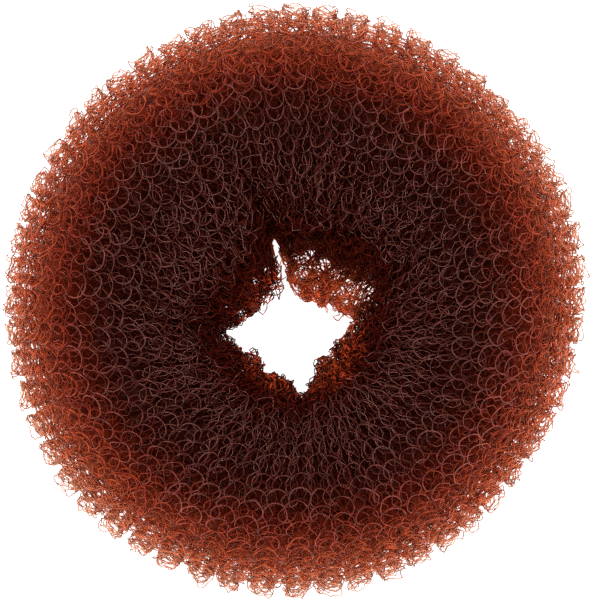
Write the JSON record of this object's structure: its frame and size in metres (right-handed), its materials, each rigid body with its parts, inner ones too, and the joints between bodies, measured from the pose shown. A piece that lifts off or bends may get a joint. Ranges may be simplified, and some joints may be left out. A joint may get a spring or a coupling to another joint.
{
  "type": "hair donut bun maker",
  "caption": "Soft ring of rolled open netting that a ponytail is pulled through, for shaping a hair bun round it.",
  "frame": {"origin": "middle of the ring's base, where it rests on a table", "axes": "+Z up along the ring's hole, +X right and +Y up as the picture shows it from above"},
  "size_m": [0.0884, 0.0898, 0.0331],
  "materials": {
    "nylon_netting": "brown nylon monofilament netting, glossy filaments, open and springy"
  },
  "bodies": {
    "root": {"rolled_net_ring": "nylon_netting"}
  },
  "joints": []
}
